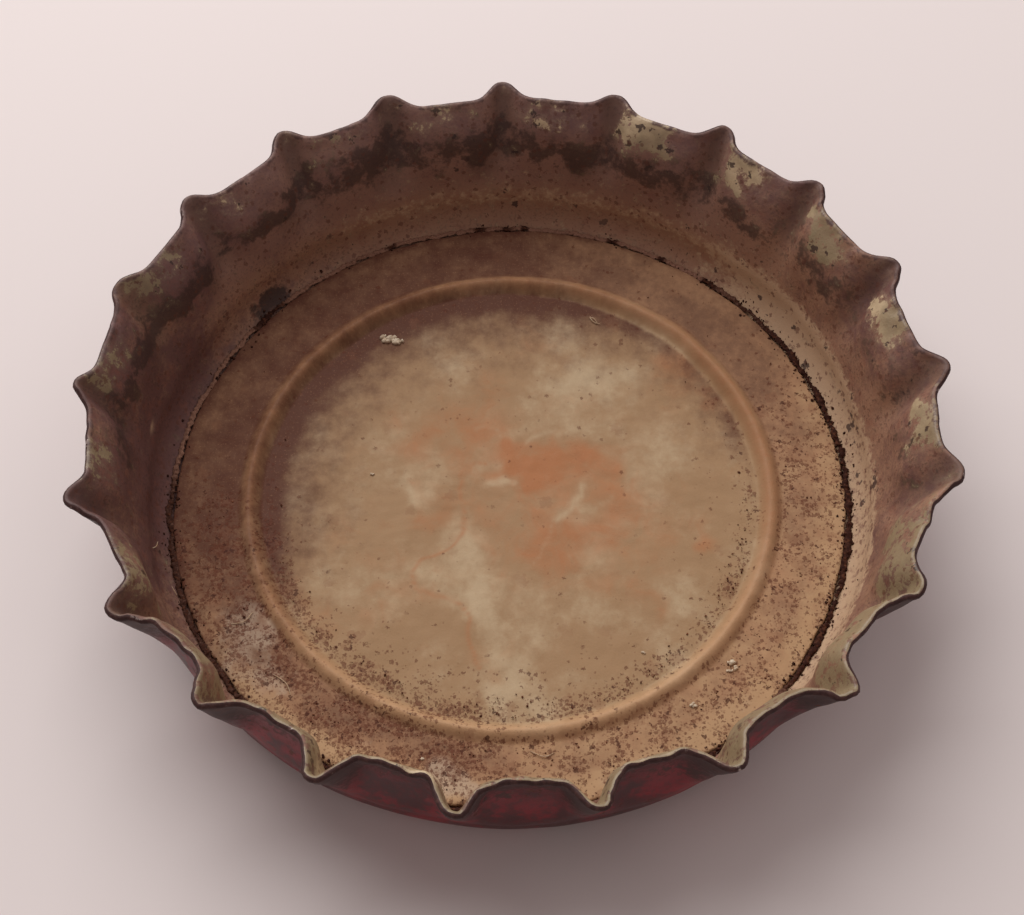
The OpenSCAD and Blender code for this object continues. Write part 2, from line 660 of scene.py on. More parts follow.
    def make(self) -> list[bpy.types.Material]:
        """Makes the materials of the three zones: inside, rim, outside."""
        return [self.inside(), self.rim(), self.outside()]


# How strongly the inner side is marked at each bearing.
LACQUER = (Arc(0.5, 16, 102, 8), Arc(0.32, -126, -62, 8), Peak(0.16, 2, 14), Arc(0.56, 102, 234, 8),
           Peak(0.12, 26, 8), Peak(-0.24, 109, 8), Peak(-0.2, -138, 10))
LACQUER_GREEN = (Arc(0.34, 98, 234, 6), Arc(0.3, -130, -62, 8), Arc(-0.22, 152, 212, 8))
LACQUER_DROP = (Arc(0.22, 98, 140, 7), Arc(0.45, 140, 248, 7))
# DARK_BAND weighs the dark band under the teeth: partly painted shade under the flute bulges, partly grime.
DARK_BAND = (Arc(0.8, -95, 36, 14), Arc(0.16, -84, -16, 14), Arc(0.62, 36, 78, 10), Arc(0.46, 78, 122, 14))
# WALL_TONE: lighter and darker film by bearing, partly its own tone and partly painted light and shade.
WALL_TONE = (Arc(0.24, -55, 48, 10), Arc(0.22, -24, 56, 10), Arc(0.12, 12, 62, 14), Arc(0.1, 62, 125, 12),
             Arc(-0.25, -108, -60, 10))
WALL_DUST = (Arc(0.9, 44, 140, 12), Peak(0.4, 62, 16), Arc(0.45, 140, 236, 20), Arc(0.3, -30, 44, 10))
WALL_PEPPER = (Arc(0.25, 50, 145, 10), Arc(0.3, -140, -84, 8))


@dataclass(frozen=True)
class WallScratch:
    """A short bright scratch on the wall, at a bearing and a share of the skirt's height."""

    bearing: float
    length: float
    share: float
    width: float
    strength: float

    def at(self, bearing: Array, share: Array) -> Array:
        """Bell curve along the scratch times one across it, times the strength."""
        return self.strength * about(bearing, self.bearing, self.length) * bell(share, self.share, self.width)


WALL_SCRATCHES = (WallScratch(-80.5, 1.0, 0.11, 0.016, 1.0), WallScratch(25.5, 0.5, 0.12, 0.025, 0.8),
                  WallScratch(28, 0.5, 0.13, 0.02, 0.8))


@dataclass
class CrownShell:
    """The pressed shell: flat panel, bend, flared skirt with one flute for each tooth, and a round rim."""

    tip_r: float
    height: float
    body_r: float = 13.6
    sheet: float = 0.24
    corner_r: float = 1.8
    teeth: int = 21
    columns_per_tooth: int = 36
    panel_rows: int = 10
    bend_rows: int = 11
    skirt_rows: int = 34
    rim_rows: int = 4
    flute_depth: float = 0.75
    scallop: float = 0.2
    flare_straight: float = 0.65
    foot_softness: float = 0.08
    flute_start: float = 0.08
    flute_end: float = 0.86
    flute_spread: float = 0.14
    front_flutes: float = 0.8
    front_bulge: float = 0.16
    tip_reach: float = 0.07
    tip_lift: float = 0.04
    tip_shift: float = 0.45
    tooth_half: float = 2.55
    tooth_power: float = 2.3
    chord: float = 0.2
    rim_slide: tuple[float, float] = (0.16, 0.39)
    rim_oval: tuple[float, float] = (0.14, -0.12)
    lean_power: float = 1.3
    broad_dents: float = 0.035
    small_dents: float = 0.012
    nick_depth: float = 0.02
    seed: int = 7

    @property
    def panel_r(self) -> float:
        """Radius of the flat panel, where the bend starts."""
        return self.body_r - self.corner_r

    @property
    def pitch(self) -> float:
        """Angle from tooth to tooth."""
        return FULL_TURN / self.teeth

    @property
    def bearing(self) -> Array:
        """Bearings of the columns."""
        count = self.teeth * self.columns_per_tooth
        return np.arange(count) * FULL_TURN / count

    def teeth_at(self, bearing: Array) -> tuple[Array, Array, Array]:
        """Works out the teeth: a narrow nub exp(-(angle / half)^power), joined by nearly straight chords.

        Args:
            bearing: bearings of the columns.

        Returns:
            The tooth outline from nought in a valley to one at a tip, the number of each column's tooth and
            the number of its valley.
        """
        draw = np.random.default_rng(self.seed)
        shift = draw.uniform(-self.tip_shift, self.tip_shift, self.teeth)
        half = self.tooth_half * draw.uniform(0.88, 1.14, self.teeth)
        tooth = np.round(bearing / self.pitch).astype(int) % self.teeth
        valley = np.floor(bearing / self.pitch).astype(int) % self.teeth
        away = np.abs((bearing - shift[tooth] + self.pitch / 2) % self.pitch - self.pitch / 2)
        nub = np.exp(-((away / half[tooth]) ** self.tooth_power))
        chord = self.chord * (1 - away / (self.pitch / 2)) ** 2
        return nub + (1 - nub) * chord, tooth, valley

    def middle(self) -> tuple[Array, Array, Array]:
        """Works out the middle surface of the sheet, from the centre of the panel to the rim.

        The radius on the skirt is the wall's radius, plus the flare times its growth, less the flute depth
        in the valleys, which comes in as a smooth step. The rim is slid and made oval, more with height.

        Returns:
            The points, the share of the skirt's height (negative on the bend, -1 on the panel) and the tooth
            outline, each on the grid.
        """
        draw = np.random.default_rng(self.seed + 1)
        bearing = self.bearing[None, :]
        outline, tooth, valley = self.teeth_at(self.bearing)
        bend = self.corner_r - self.sheet / 2
        panel = np.linspace(0, self.panel_r, self.panel_rows, endpoint=False)[:, None]
        turn = np.linspace(0, math.pi / 2, self.bend_rows, endpoint=False)[:, None]
        share = np.linspace(0, 1, self.skirt_rows)[:, None]

        soft = share - self.foot_softness * (1 - np.exp(-share / self.foot_softness))
        flare = growth(soft / soft[-1], self.flare_straight)
        spread = draw.uniform(-self.flute_spread, self.flute_spread, self.teeth)
        depth = self.flute_depth * (1 + spread)[valley]
        depth = depth * (1 + self.front_flutes * between(self.bearing, 120, 240, 20))
        reach = draw.normal(0, self.tip_reach, self.teeth)[tooth]
        lift = draw.normal(0, self.tip_lift, self.teeth)[tooth]
        bulge = self.front_bulge * between(bearing, 100, 260, 25) * 4 * share * (1 - share)
        radius = (self.body_r - self.sheet / 2 + (self.tip_r - self.body_r) * flare + bulge
                  - depth * smooth(share, self.flute_start, self.flute_end) * (1 - outline)
                  + reach * outline * share**2)
        rise = self.height - self.corner_r
        height = self.corner_r + share * (rise - self.scallop * (1 - outline) + lift * outline)

        low_radius = np.concatenate([panel, self.panel_r + bend * np.sin(turn)])
        low_height = np.concatenate([np.full_like(panel, self.sheet / 2),
                                     self.corner_r - bend * np.cos(turn)])
        radius = np.concatenate([np.repeat(low_radius, bearing.size, axis=1), radius])
        height = np.concatenate([np.repeat(low_height, bearing.size, axis=1), height])
        arc = -(math.pi / 2 - turn) * bend / rise
        shares = np.concatenate([np.full_like(panel, -1.0), arc, share])
        shares = np.broadcast_to(shares, radius.shape)
        points = on_circle(radius, bearing, height)
        lean = np.clip(shares, 0, 1) ** self.lean_power
        points[..., :2] += lean[..., None] * np.array(self.rim_slide)
        azimuth = np.radians(90 - bearing)
        oval = self.rim_oval[0] * np.cos(2 * azimuth) + self.rim_oval[1] * np.sin(2 * azimuth)
        points += (lean * oval)[..., None] * on_circle(np.ones_like(bearing), bearing, np.zeros_like(bearing))
        dents = self.broad_dents * Waves(11, 5.0).at(points) + self.small_dents * Waves(12, 1.3).at(points)
        dents *= smooth(shares, -0.35, 0.2)
        nicks = self.nick_depth * Waves(13, 0.55).at(points) * smooth(shares, 0.9, 1.0)
        points += facing(points) * (dents + nicks)[..., None]
        points[..., 2] += nicks * 0.6
        return points, shares, np.broadcast_to(outline, shares.shape)

    def lacquer_marks(self, bearing: Array, level: Array, side: Array) -> dict[str, Array]:
        """Works out the flaking lacquer: a patch high in each valley, and nearly all of the front.

        Args:
            bearing: bearings of the grid.
            level: share of the skirt's height, made wavy.
            side: place across each flute, from -1 to 1, made wavy.

        Returns:
            The fields by name.
        """
        low = 0.66 - total(LACQUER_DROP, bearing)
        patch = np.maximum(np.exp(-(((side + 0.2) / 0.55) ** 4)), 0.85 * between(bearing, 104, 240, 8))
        rich = 0.27 + total(LACQUER, bearing)
        return {"lacquer": rich * patch * smooth(level, low, low + 0.18),
                "green": total(LACQUER_GREEN, bearing)}

    def dark_marks(self, bearing: Array, level: Array, side: Array, across: Array) -> dict[str, Array]:
        """Works out the dark band under the teeth, partly painted shade under the flute bulges and partly
        grime, and the painted shade in the flutes of the left wall.

        Args:
            bearing: bearings of the grid.
            level: share of the skirt's height, made wavy.
            side: place across each flute, from -1 to 1, made wavy.
            across: the same place, not made wavy.

        Returns:
            The fields by name.
        """
        # Dark band: partly painted shade under the flute bulges, partly grime.
        band = total(DARK_BAND, bearing) * (0.75 + 0.25 * bell(side, 0.35, 0.45))
        # Painted shade in the lower tooth pockets of the back and left walls.
        pocket = (0.5 - 0.5 * np.cos(math.pi * (across + 0.3))) ** 2
        return {"band": band * plateau(level, 0.34, 0.58, 0.64, 0.96),
                "shade": pocket * between(bearing, -118, 34, 14) * plateau(level, 0.12, 0.5, 0.58, 0.85)}

    def film_marks(self, bearing: Array, share: Array, outline: Array) -> dict[str, Array]:
        """Works out how light, cool, dusty and speckled the film is, with its smudge, scratches and edge. Its
        tone
        is partly painted light and shade: lighter on the back wall and the tooth ridges, darker on the left
        wall.

        Args:
            bearing: bearings of the grid.
            share: share of the skirt's height.
            outline: tooth outline.

        Returns:
            The fields by name.
        """
        high = smooth(share, 0.4, 0.7)
        # Painted light on the back wall and the tooth ridges and painted shade on the left wall, over the
        # film's own tone.
        tone = (total(WALL_TONE, bearing) * (1 - 0.9 * high) - 0.2 * between(bearing, -108, -52, 8) * high
                + 0.3 * about(bearing, 2, 24) * plateau(share, 0.18, 0.34, 0.5, 0.75)
                + 0.3 * outline**2 * between(bearing, -85, 44, 12) * smooth(share, 0.3, 0.6))
        low_wall = plateau(share, -0.5, -0.42, 0.0, 0.22)
        haze = (total(WALL_DUST, bearing) * low_wall
                + 0.34 * between(bearing, -35, 56, 12) * plateau(share, -0.1, 0.0, 0.3, 0.5))
        scratch = sum(line.at(bearing, share) for line in WALL_SCRATCHES)
        return {"tone": tone, "haze": haze, "scratch": np.clip(scratch, 0, 1),
                "cool": between(bearing, -60, 44, 14) * smooth(share, 0.0, 0.3),
                "pepper": 0.04 + low_wall * total(WALL_PEPPER, bearing),
                "smudge": 0.85 * about(bearing, -46, 5.0) * plateau(share, -0.5, -0.3, -0.25, 0.08),
                "edge": (0.6 - 0.3 * between(bearing, 100, 240, 8)) * smooth(share, 0.94, 1.0)}

    def marks(self, points: Array, share: Array, outline: Array) -> dict[str, Array]:
        """Works out the fields that the shell's materials read.

        Args:
            points: points of the grid.
            share: share of the skirt's height.
            outline: tooth outline.

        Returns:
            The fields by name.
        """
        bearing = np.broadcast_to(self.bearing[None, :], share.shape)
        drift = 0.045 * Waves(15, 4.5).at(points) + 0.03 * Waves(16, 1.2).at(points)
        level = share + drift
        across = (2 * bearing / self.pitch) % 2 - 1
        side = across + 3 * drift
        return ({"share": share, "valley": 1 - outline} | self.lacquer_marks(bearing, level, side)
                | self.dark_marks(bearing, level, side, across) | self.film_marks(bearing, share, outline))

    def build(self) -> bpy.types.Object:
        """Gives the middle surface its thickness: inner side, rounded rim, outer side.

        Returns:
            The shell.
        """
        points, share, outline = self.middle()
        normal = facing(points)
        fields = self.marks(points, share, outline)
        up = np.gradient(points, axis=0)[-1]
        up /= np.linalg.norm(up, axis=-1, keepdims=True)
        swing = np.linspace(0, math.pi, self.rim_rows + 2)[1:-1, None, None]
        rim = points[-1] + self.sheet / 2 * (np.cos(swing) * normal[-1] + np.sin(swing) * up)
        inner = points + normal * self.sheet / 2
        outer = (points - normal * self.sheet / 2)[::-1]
        grid = np.concatenate([inner, rim, outer])
        layers = {key: np.concatenate([field, np.repeat(field[-1:], self.rim_rows, 0), field[::-1]])
                  for key, field in fields.items()}
        zones = np.repeat([0, 1, 2], [len(points) + 1, self.rim_rows - 1, len(points)])
        return Skin("cap_shell", grid, layers, zones=zones).build()

    def dress(self) -> None:
        """Builds the shell and seats it in place of its CAD node."""
        seat(self.build(), "shell_metal", ShellFinish().make(), "crown_shell")


# ---------------------------------------------------------------------------------------------------------
# The liner


@dataclass(frozen=True)
class Blot:
    """A soft spot on the liner, in millimetres from the centre."""

    x: float
    y: float
    size: float
    strength: float

    def at(self, places: Array, spread: float = 1.0) -> Array:
        """Bell curve of the distance, drawn out by the spread, times the strength."""
        away = (places[..., 0] - self.x) ** 2 + (places[..., 1] - self.y) ** 2
        return self.strength * np.exp(-away / (spread * self.size) ** 2)


@dataclass(frozen=True)
class Stroke:
    """A thin curved line on the liner through a few points, in millimetres."""

    points: tuple[tuple[float, float], ...]
    width: float
    strength: float
    steps: int = 24

    def path(self) -> Array:
        """Points along a smooth curve through the stroke's own points (Catmull-Rom).

        Returns:
            The points of the curve.
        """
        given = np.array(self.points)
        held = np.concatenate([2 * given[:1] - given[1:2], given, 2 * given[-1:] - given[-2:-1]])
        t = np.linspace(0, 1, self.steps, endpoint=False)[None, :, None]
        a, b, c, d = (held[i:len(held) - 3 + i, None, :] for i in range(4))
        curve = 0.5 * (2 * b + (c - a) * t + (2 * a - 5 * b + 4 * c - d) * t**2
                       + (3 * b - a - 3 * c + d) * t**3)
        return np.concatenate([curve.reshape(-1, given.shape[1]), given[-1:]])

    def at(self, places: Array) -> Array:
        """Works out how strongly the line shows.

        Args:
            places: places on the liner, in millimetres.

        Returns:
            Bell curve of the distance to the line, times the strength.
        """
        nearest = np.full(places.shape[:-1], np.inf)
        for x, y in self.path():
            nearest = np.minimum(nearest, (places[..., 0] - x) ** 2 + (places[..., 1] - y) ** 2)
        return self.strength * np.exp(-nearest / self.width**2)


STAINS = (
    Blot(1.0, 0.2, 2.4, 0.22), Blot(0.7, 0.5, 0.62, 0.6), Blot(0.4, 1.4, 0.5, 0.5),
    Blot(1.9, 1.5, 0.95, 0.5), Blot(2.9, 1.4, 0.7, 0.35), Blot(-1.3, 1.6, 0.8, 0.3),
    Blot(1.0, -2.6, 1.0, 0.42), Blot(2.4, -2.2, 1.1, 0.22), Blot(3.9, -1.9, 1.1, 0.3),
    Blot(5.2, -1.0, 1.0, 0.28), Blot(4.1, 0.4, 0.6, 0.36), Blot(-2.6, -0.9, 0.9, 0.4),
    Blot(-2.0, 3.2, 1.0, 0.34), Blot(-3.9, 2.8, 0.9, 0.3), Blot(-0.7, 4.7, 0.8, 0.24),
    Blot(7.1, -1.9, 0.4, 0.45), Blot(5.3, -4.6, 0.8, 0.28), Blot(-4.1, -4.0, 1.0, 0.32),
    Blot(-6.1, -1.5, 0.9, 0.22), Blot(-7.3, -4.9, 0.8, 0.3), Blot(1.0, 7.4, 0.75, 0.26),
    Blot(-1.0, -7.0, 0.7, 0.16), Blot(7.0, 5.4, 0.9, 0.6), Blot(8.2, 3.6, 0.5, 0.4),
)
PALE_SPOTS = (
    Blot(-3.9, 0.2, 0.6, 0.55), Blot(-0.6, 0.5, 0.28, 0.7), Blot(-0.4, -5.2, 1.6, 0.5),
    Blot(-0.6, -8.3, 1.0, 0.6), Blot(-1.2, -2.6, 1.2, 0.3), Blot(3.2, 5.0, 2.2, 0.35),
    Blot(6.2, -4.6, 1.2, 0.3),
)
TIDE_LINES = (
    Stroke(((-0.9, 1.3), (-1.4, 1.25), (-1.85, 0.8), (-1.7, -0.7), (-1.85, -1.9), (-2.6, -2.5),
            (-3.3, -2.75), (-3.7, -3.3), (-3.3, -4.0), (-2.4, -4.4), (-1.75, -4.9), (-1.65, -6.0),
            (-1.25, -7.2)), 0.075, 0.75),
    Stroke(((0.3, 1.9), (0.1, 0.9), (0.35, -0.1), (1.2, -0.9)), 0.12, 0.3),
    Stroke(((1.2, -1.1), (2.6, -0.3), (3.4, -0.9), (3.0, -1.6)), 0.12, 0.2),
)
SCRATCHES = (
    Stroke(((1.75, -1.25), (2.3, -0.6), (2.85, 0.2)), 0.12, 0.9),
    Stroke(((0.7, 2.3), (1.2, 2.55), (1.75, 2.75)), 0.1, 0.6),
    Stroke(((-1.3, 3.0), (-0.4, 2.9)), 0.06, 0.25), Stroke(((3.0, -1.0), (3.9, -0.3)), 0.08, 0.25),
    Stroke(((-6.6, -3.0), (-5.6, -1.2)), 0.05, 0.25), Stroke(((0.9, -3.1), (1.6, -1.5)), 0.05, 0.25),
)
CLOUDS = (
    Blot(-9.8, -5.9, 1.2, 0.9), Blot(-9.2, -4.6, 0.6, 0.5), Blot(-2.2, -11.7, 0.9, 1.1),
    Blot(-8.3, -7.6, 1.0, 0.65), Blot(3.0, -11.8, 0.8, 0.4), Blot(-5.4, -10.3, 0.7, 0.45),
    Blot(7.6, -8.8, 0.7, 0.4),
)


@dataclass(frozen=True)
class LinerFinish:
    """Aged plastic: cloudy cream in the middle, tan on the ring, brown and peppered with rust outside it,
    with painted light at the front and painted shade round the back.
    """

    cream: Colour = srgb(162, 130, 97)
    ivory: Colour = srgb(188, 164, 132)
    amber: Colour = srgb(172, 114, 76)
    tan: Colour = srgb(196, 154, 117)
    tan_shaded: Colour = srgb(164, 113, 80)
    brown: Colour = srgb(176, 135, 102)
    brown_dark: Colour = srgb(122, 89, 69)
    ash: Colour = srgb(188, 165, 142)
    sand: Colour = srgb(184, 149, 113)
    rust: Colour = srgb(98, 53, 38)
    rust_red: Colour = srgb(128, 82, 60)
    soot: Colour = srgb(72, 38, 29)
    soil_and_shade: Colour = srgb(88, 51, 40)

    def make(self) -> bpy.types.Material:
        """Makes the liner's material from its zones, stains and specks.

        Returns:
            The material.
        """
        make = Finish("aged_liner", flat=True)
        beyond, ring, fresh_and_lit = make.field("band"), make.field("ring"), make.field("fresh_and_lit")
        broad, fine = make.noise(41, 2.6, 4), make.noise(42, 0.3, 4, 0.65)
        grain = make.noise(43, 0.09, 3, 0.7)

        light = broad.stirred(fine, 0.3) + make.field("pale") * 0.65 - 0.16
        stain = make.field("stain").stirred(make.noise(44, 1.2, 5, 0.6, 0.5), 0.8).stirred(fine, 0.2)
        disc = make.coats(self.cream, (light.ramp(0.28, 0.78), self.ivory),
                          (stain.ramp(0.05, 0.9) * 0.9, self.amber),
                          (make.field("tide") * (fine * 0.8 + 0.25), self.amber),
                          (make.field("scratch") * (fine * 0.7 + 0.4), self.ivory))

        # Painted light: the band turns lighter and sandier at the front and the right, with its own lighter
        # edge.
        tone = broad * 0.8 + fine * 0.5 + fresh_and_lit * 0.5 - 0.2
        sandy = fresh_and_lit.stirred(make.noise(45, 0.9, 4), 0.9).ramp(0.3, 1.0)
        cloud = make.field("cloud").stirred(make.noise(46, 0.7, 5, 0.65), 0.9).ramp(0.25, 0.9)
        band = make.coats(self.brown_dark, (tone.ramp(0.25, 1.0), self.brown), (sandy, self.sand),
                          (cloud * 0.7, self.ash))

        # Painted light and shade on the ring: the lighter tan at the front, the darker tan round the back.
        tan = make.mix(make.field("front"), self.tan_shaded, self.tan)
        # Partly painted shade: the soil colour is laid darkest round the back.
        soiled_and_shaded = make.field("soiled_and_shaded").stirred(make.noise(47, 0.8, 5, 0.65), 0.8).ramp(0.05, 1.0)
        colour = make.coats(disc, (beyond, band), (ring * (0.62 + (fine - 0.5) * 0.8), tan),
                            (soiled_and_shaded * 0.94, self.soil_and_shade), (grain.ramp(0.58, 0.75) * 0.3, self.brown))

        density = make.field("specks") * (make.noise(53, 0.9, 3, 0.6).ramp(0.3, 0.75) * 1.3 + 0.25)
        dots = make.specks(48, 0.17, 0.42, density)
        dust = make.specks(49, 0.09, 0.45, density * 0.9)
        flecks = make.specks(51, 0.3, 0.26, density * 0.45)
        blush = make.specks(52, 0.5, 0.7, density * 0.6 + 0.02)
        colour = make.coats(colour, (blush * 0.25, self.rust_red), (dust * 0.45, self.rust),
                            (dots * 0.6, self.rust), (flecks * 0.75, self.soot))

        rough = 0.5 + beyond * 0.14 - ring * 0.08 + (fine - 0.5) * 0.3 + cloud * 0.1
        relief = fine * 0.4 + grain * 0.35 + dots * 0.5
        return make.surface(colour, rough, relief, 0.02, Specular_IOR_Level=0.08)


@dataclass
class Liner:
    """The moulded liner: a middle disc, a raised sealing ring and a flat outer band with a round edge."""

    radius: float
    foot: float
    crest: float
    disc_top: float = 0.54
    band_top: float = 0.69
    ring_r: float = 9.8
    ring_half: float = 0.46
    edge_round: float = 0.1
    flat_r: float = 11.8
    ring_foot: float = 0.6
    disc_rows: int = 64
    ring_rows: int = 26
    band_rows: int = 24
    columns: int = 560
    stain_spread: float = 1.35

    def ring_mid(self, bearing: Array) -> Array:
        """Works out the radius of the ring's crest, which wanders a little and bulges at one spot.

        Args:
            bearing: bearings of the columns.

        Returns:
            The radius at each bearing.
        """
        angle = np.radians(bearing)
        wander = 0.03 * np.cos(2 * angle + 1) + 0.02 * np.sin(5 * angle)
        return self.ring_r + wander + 0.1 * about(bearing, 44, 5)

    def profile(self) -> tuple[Array, Array]:
        """Radii and base heights of the rows, from the middle of the top to the middle of the foot.

        Returns:
            The radii, and the heights with the top left at the band's.
        """
        flat = self.radius - self.edge_round
        ring_in, ring_out = self.ring_r - self.ring_foot, self.ring_r + self.ring_foot
        top = np.concatenate([np.linspace(0, ring_in, self.disc_rows, endpoint=False),
                              np.linspace(ring_in, ring_out, self.ring_rows, endpoint=False),
                              np.linspace(ring_out, flat, self.band_rows)])
        swing = np.linspace(0, math.pi / 2, 6)[1:]
        edge_r = flat + self.edge_round * np.sin(swing)
        edge_z = self.band_top - self.edge_round * (1 - np.cos(swing))
        foot_r = np.array([self.radius - 0.02, self.radius - 0.2, self.flat_r, 8.0, 4.0, 0.0])
        foot_z = np.array([0.5, 0.36, self.foot, self.foot, self.foot, self.foot])
        return (np.concatenate([top, edge_r, foot_r]),
                np.concatenate([np.full_like(top, self.band_top), edge_z, foot_z]))

    def build(self) -> bpy.types.Object:
        """Builds the liner: its profile turned round, with the ring raised and the disc sunk and uneven.

        Returns:
            The liner.
        """
        radius, height = (rows[:, None] for rows in self.profile())
        bearing = (np.arange(self.columns) * FULL_TURN / self.columns)[None, :]
        top_rows = self.disc_rows + self.ring_rows + self.band_rows
        is_top = (np.arange(len(radius)) < top_rows)[:, None]
        off = np.abs(radius - self.ring_mid(bearing)) / self.ring_half
        ring = np.cos(np.clip(off, 0, 1) * math.pi / 2) ** 1.4
        inward = 1 - smooth(radius, self.ring_r - 0.45, self.ring_r + 0.05)
        level = height + ring * (self.crest - self.band_top) - inward * (self.band_top - self.disc_top)
        height = np.where(is_top, level, height + 0 * bearing)
        points = on_circle(np.broadcast_to(radius, height.shape), bearing, height)
        uneven = 0.02 * Waves(61, 4.5).at(points) * inward + 0.008 * Waves(62, 1.1).at(points)
        uneven += 0.004 * Waves(63, 0.45).at(points)
        points[..., 2] += uneven * is_top * smooth(self.radius - radius, 0.0, 0.3)
        ragged = 0.02 * Waves(64, 1.2).at(points) + 0.01 * Waves(65, 0.4).at(points)
        points[..., :2] *= 1 + (ragged * smooth(radius, 12.2, 12.5) / self.radius)[..., None]
        return Skin("liner_disc", points, self.marks(points, bearing, ring)).build()

    def specks(self, bearing: Array, radius: Array, ring: Array) -> Array:
        """Works out how thickly rust specks lie: mostly at the front, and gathered along the ring.

        Args:
            bearing: bearings of the columns.
            radius: distance of each point from the middle.
            ring: one on the ring's crest, nought off the ring.

        Returns:
            The density of the specks.
        """
        front_left, front = between(bearing, -172, -92, 10), between(bearing, 150, 215, 15)
        right = between(bearing, 70, 150, 16)
        along_ring = 0.6 * front_left + 0.4 * front + 0.22 * between(bearing, 88, 150, 12) + 0.06
        on_disc = 0.03 + 0.09 * smooth(radius, 6.5, 9.0) * (front_left + front + 0.25 * right)
        on_band = (0.6 * front_left * bell(radius, 10.9, 0.75) + 0.42 * front_left + 0.42 * front
                   + 0.36 * right + 0.05)
        return (bell(radius, 9.15, 0.42) * along_ring + self.inside(radius) * on_disc
                + 0.12 * ring * (front_left + 0.5 * front) + self.beyond(radius) * on_band)

    def soil_and_shade(self, bearing: Array, radius: Array, ring: Array) -> Array:
        """Works out where the liner is darkened, most along the back and the left and along its edge: partly
        painted shade round the back, partly soil.

        Args:
            bearing: bearings of the columns.
            radius: distance of each point from the middle.
            ring: one on the ring's crest, nought off the ring.

        Returns:
            The amount of soil and painted shade.
        """
        back = between(bearing, -112, 26, 20) + 0.45 * between(bearing, 26, 82, 12)
        # Inside the ring, darker round the back: partly painted shade, partly soil.
        on_disc = (back * (0.5 * bell(radius, 9.4, 0.8) + 0.7 * bell(radius, 9.4, 3.2))
                   + 0.12 * bell(radius, 9.4, 0.6))
        # On the band, darker round the back: partly painted shade, partly soil; soil along the edge.
        outer = 0.64 * between(bearing, -120, 22, 24) + 0.2 * smooth(radius, 12.1, 12.6)
        bare = ring * (0.1 + 0.4 * about(bearing, 2, 16))
        inside = self.inside(radius)
        return inside * on_disc + (1 - inside) * (1 - bare) * outer

    def freshness_and_light(self, bearing: Array, radius: Array) -> Array:
        """Works out where the band is lighter: painted light at the front and the right, and its own lighter
        colour along its edge.

        Args:
            bearing: bearings of the columns.
            radius: distance of each point from the middle.

        Returns:
            The share of the light colour.
        """
        # Painted light at the front and the right; the edge term below is the band's own lighter colour.
        light = 0.62 * between(bearing, 138, 222, 26) + 0.5 * between(bearing, 70, 140, 22)
        worn = 0.45 * bell(radius, 10.9, 0.75) * between(bearing, -180, -100, 14)
        edge = 0.3 * smooth(radius, 11.3, 12.3) * (1 + between(bearing, 140, 224, 10))
        return self.beyond(radius) * (light - worn + 0.3 * between(bearing, -140, -105, 16) + edge)

    def inside(self, radius: Array) -> Array:
        """One on the disc, nought on the ring and beyond it."""
        return 1 - smooth(radius, self.ring_r - 0.65, self.ring_r - 0.3)

    def beyond(self, radius: Array) -> Array:
        """One on the band, nought on the ring and inside it."""
        return smooth(radius, self.ring_r + 0.15, self.ring_r + 0.45)

    def marks(self, points: Array, bearing: Array, ring: Array) -> dict[str, Array]:
        """Works out the fields that the liner's material reads.

        Args:
            points: points of the grid.
            bearing: bearings of the columns.
            ring: one on the ring's crest, nought off the ring.

        Returns:
            The fields by name.
        """
        bent = points[..., :2].copy()
        for axis, seed in enumerate((71, 72)):
            bent[..., axis] += 0.3 * Waves(seed, 2.2).at(points) + 0.1 * Waves(seed + 5, 0.8).at(points)
        waver = points[..., :2] + 0.05 * np.stack([Waves(seed, 0.9).at(points) for seed in (81, 82)], -1)
        radius = np.linalg.norm(points[..., :2], axis=-1)
        inside, beyond = self.inside(radius), self.beyond(radius)
        stains = sum(blot.at(bent, self.stain_spread) for blot in STAINS)
        return {"band": beyond, "ring": ring**0.8, "specks": self.specks(bearing, radius, ring),
                # Painted light: the ring takes its lighter tan at the front.
                "front": np.broadcast_to(between(bearing, 116, 232, 30), radius.shape),
                "fresh_and_lit": self.freshness_and_light(bearing, radius), "soiled_and_shaded": self.soil_and_shade(bearing, radius, ring),
                "stain": inside * stains, "pale": total(PALE_SPOTS, bent),
                "cloud": beyond * total(CLOUDS, bent), "tide": inside * total(TIDE_LINES, waver),
                "scratch": total(SCRATCHES, waver)}

    def dress(self) -> None:
        """Builds the liner and seats it in place of its CAD node."""
        seat(self.build(), "liner_plastic", [LinerFinish().make()], "liner")


# ---------------------------------------------------------------------------------------------------------
# Dirt in the gap, crumbs and fibres


@dataclass(frozen=True)
class DirtFinish:
    """Crusted dirt: near black with rusty grains, matt."""

    dark: Colour = srgb(54, 31, 25)
    rusty: Colour = srgb(94, 58, 42)
    film: Colour = srgb(138, 101, 84)

    def make(self, name: str, fades: bool = False) -> bpy.types.Material:
        """Makes the dirt's material.

        Args:
            name: name of the material.
            fades: whether it turns to film where the piece's weight is low.

        Returns:
            The material.
        """
        make = Finish(name)
        fine = make.noise(91, 0.14, 2, 0.6)
        colour = make.mix(fine.ramp(0.45, 0.75), self.dark, self.rusty)
        if fades:
            full = make.field("weight").stirred(fine, 0.4).ramp(0.16, 0.42)
            colour = make.mix(full, self.film, colour)
        return make.surface(colour, 0.75 + (fine - 0.5) * 0.2, fine, 0.03, Specular_IOR_Level=0.05)


